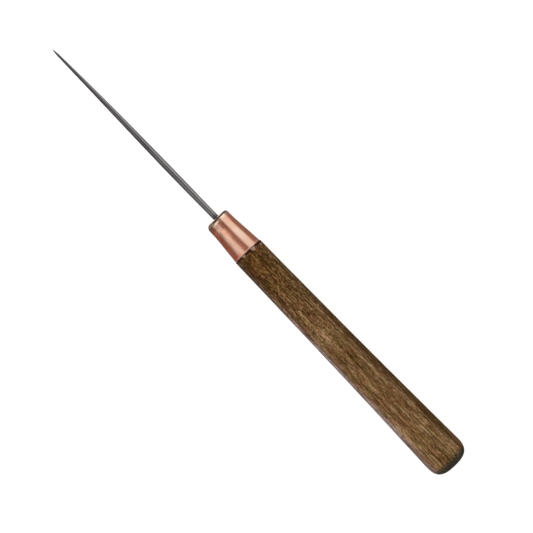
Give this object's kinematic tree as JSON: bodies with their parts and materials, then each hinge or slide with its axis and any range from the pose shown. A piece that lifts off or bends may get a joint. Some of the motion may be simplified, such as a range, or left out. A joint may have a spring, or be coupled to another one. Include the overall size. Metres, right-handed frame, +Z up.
{
  "type": "scratch awl",
  "caption": "Straight scratch awl with a long tapered round steel blade, a copper ferrule and a flared dark wooden handle with a rounded butt.",
  "frame": {"origin": "on the bench, under the middle of the awl's box, as the awl lies at rest on its butt swell and handle shoulder", "axes": "+X along the awl towards the point, +Z up from the bench; the awl's own axis leans 0.91 degrees down towards the point"},
  "size_m": [0.19, 0.014, 0.0139],
  "materials": {
    "blade_steel": "ground lengthwise, lightly tarnished, satin",
    "ferrule_copper": "drawn copper, polished by handling, darkened along its edges",
    "handle_wood": "dark stained open-pored hardwood, worn satin oil finish"
  },
  "bodies": {
    "root": {"blade": "blade_steel", "ferrule": "ferrule_copper", "handle": "handle_wood"}
  },
  "joints": []
}
